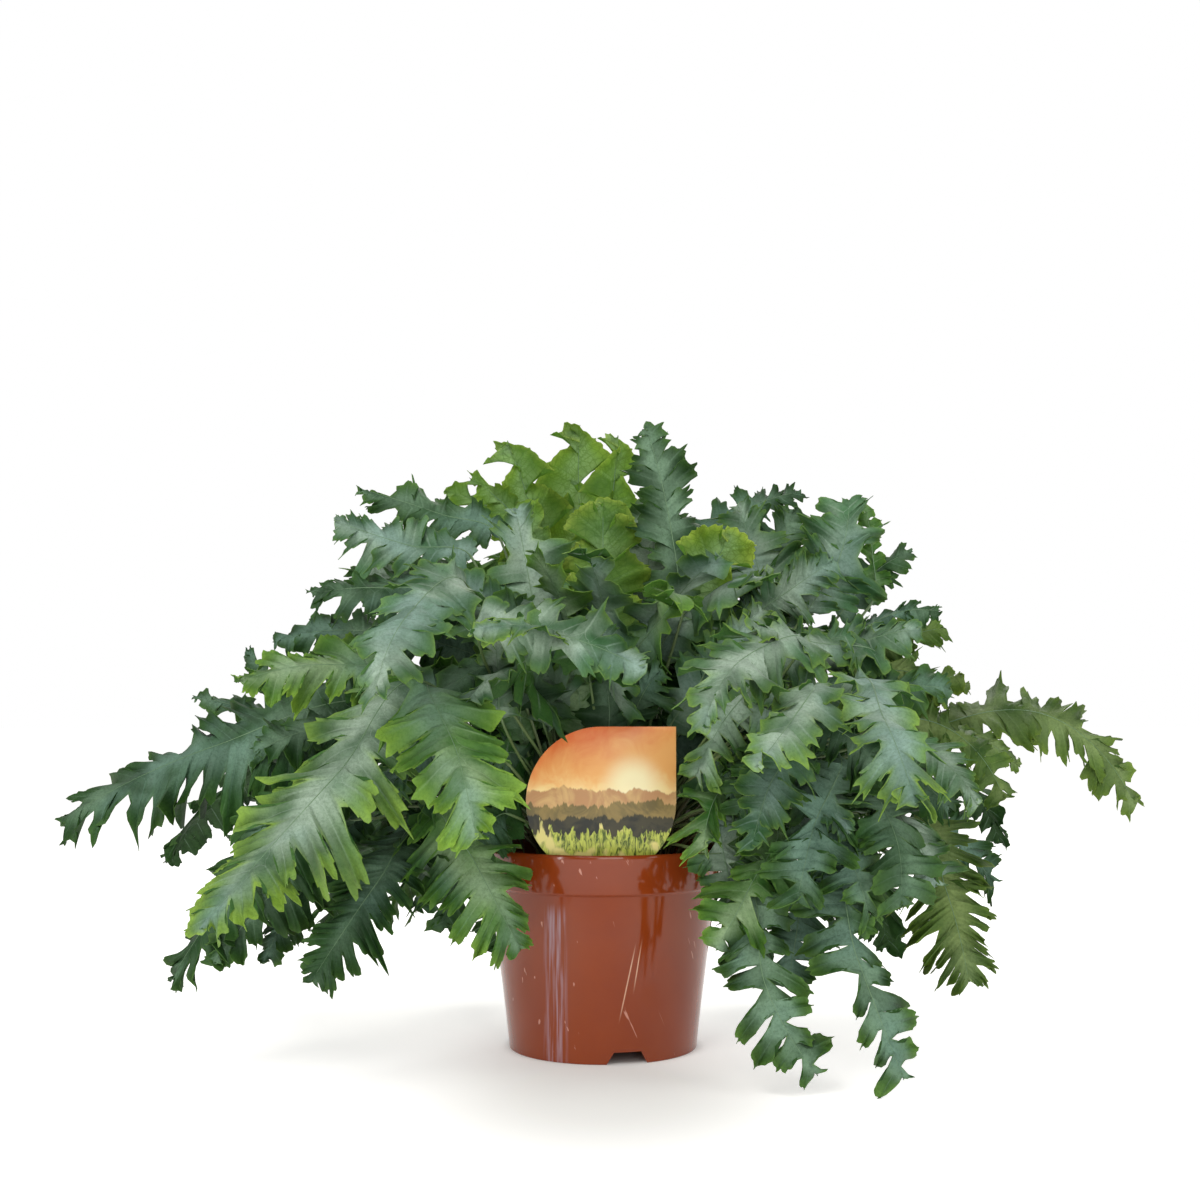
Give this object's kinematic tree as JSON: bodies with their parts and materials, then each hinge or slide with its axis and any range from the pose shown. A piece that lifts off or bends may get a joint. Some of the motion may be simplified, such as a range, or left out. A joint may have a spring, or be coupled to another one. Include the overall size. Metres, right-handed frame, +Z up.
{
  "type": "potted blue fern",
  "caption": "Bushy fern with broad, deeply lobed, arching blue-green fronds on a creeping rhizome, in a tapered plastic nursery pot with a picture tag.",
  "frame": {"origin": "middle of the pot's foot, on the ground", "axes": "+X to the viewer's right along the widest spread of the fronds, -Y towards the viewer on the side of the tag, +Z up"},
  "size_m": [0.8812, 0.6195, 0.5241],
  "materials": {
    "pot_plastic": "glossy brown moulded plastic with fine scratches",
    "potting_mix": "damp dark peat and bark",
    "rhizome": "golden-brown furry scales",
    "tag": "printed semi-gloss plastic card",
    "leaf_deep": "deep green leaf, satin, paler underneath",
    "leaf_blue": "waxy blue-green leaf with yellow-green margins",
    "leaf_pale": "mid-green leaf with light margins",
    "leaf_young": "thin yellow-green young leaf, translucent",
    "leaf_olive": "olive green leaf, satin"
  },
  "bodies": {
    "root": {"pot": "pot_plastic", "potting_mix": "potting_mix", "rhizome": "rhizome", "tag": "tag", "frond_left_long": "leaf_deep", "frond_right_long": "leaf_olive", "frond_left_big": "leaf_blue", "frond_right_front": "leaf_blue", "frond_top_fan": "leaf_young", "frond_top_dark": "leaf_deep", "frond_low_right_a": "leaf_deep", "frond_low_right_b": "leaf_deep", "frond_left_low": "leaf_deep", "frond_left_low_b": "leaf_deep", "frond_front_left": "leaf_pale", "frond_left_droop": "leaf_blue", "frond_left_tag": "leaf_pale", "frond_right_cross": "leaf_blue", "frond_right_near": "leaf_blue", "frond_right_low": "leaf_olive", "frond_right_side": "leaf_olive", "frond_left_pale": "leaf_pale", "frond_left_mid": "leaf_deep", "frond_left_high_a": "leaf_blue", "frond_left_high_b": "leaf_deep", "frond_left_back": "leaf_deep", "frond_left_spike": "leaf_deep", "frond_top_round": "leaf_young", "frond_top_young": "leaf_young", "frond_top_small": "leaf_young", "frond_top_blue": "leaf_blue", "frond_mid_cross": "leaf_blue", "frond_mid_up": "leaf_pale", "frond_mid_left": "leaf_blue", "frond_right_fan": "leaf_blue", "frond_right_up": "leaf_blue", "frond_right_crest": "leaf_deep", "frond_right_narrow": "leaf_pale", "frond_right_out": "leaf_deep", "frond_right_edge": "leaf_deep", "frond_rim_right": "leaf_pale", "frond_right_dark": "leaf_deep", "frond_near_tag": "leaf_pale", "frond_back_left_long": "leaf_deep", "frond_back_right_long": "leaf_deep", "frond_back_left_big": "leaf_blue", "frond_back_right_big": "leaf_blue", "frond_back_left_low": "leaf_deep", "frond_back_right_low": "leaf_deep", "frond_back_mid": "leaf_blue", "frond_back_mid_left": "leaf_deep", "frond_back_mid_right": "leaf_deep", "frond_back_left_droop": "leaf_pale", "frond_back_low_a": "leaf_deep", "frond_back_low_b": "leaf_olive", "frond_back_low_c": "leaf_deep", "frond_back_right_high": "leaf_blue", "frond_back_left_high": "leaf_blue", "frond_back_top": "leaf_deep", "frond_back_top_left": "leaf_pale"}
  },
  "joints": []
}
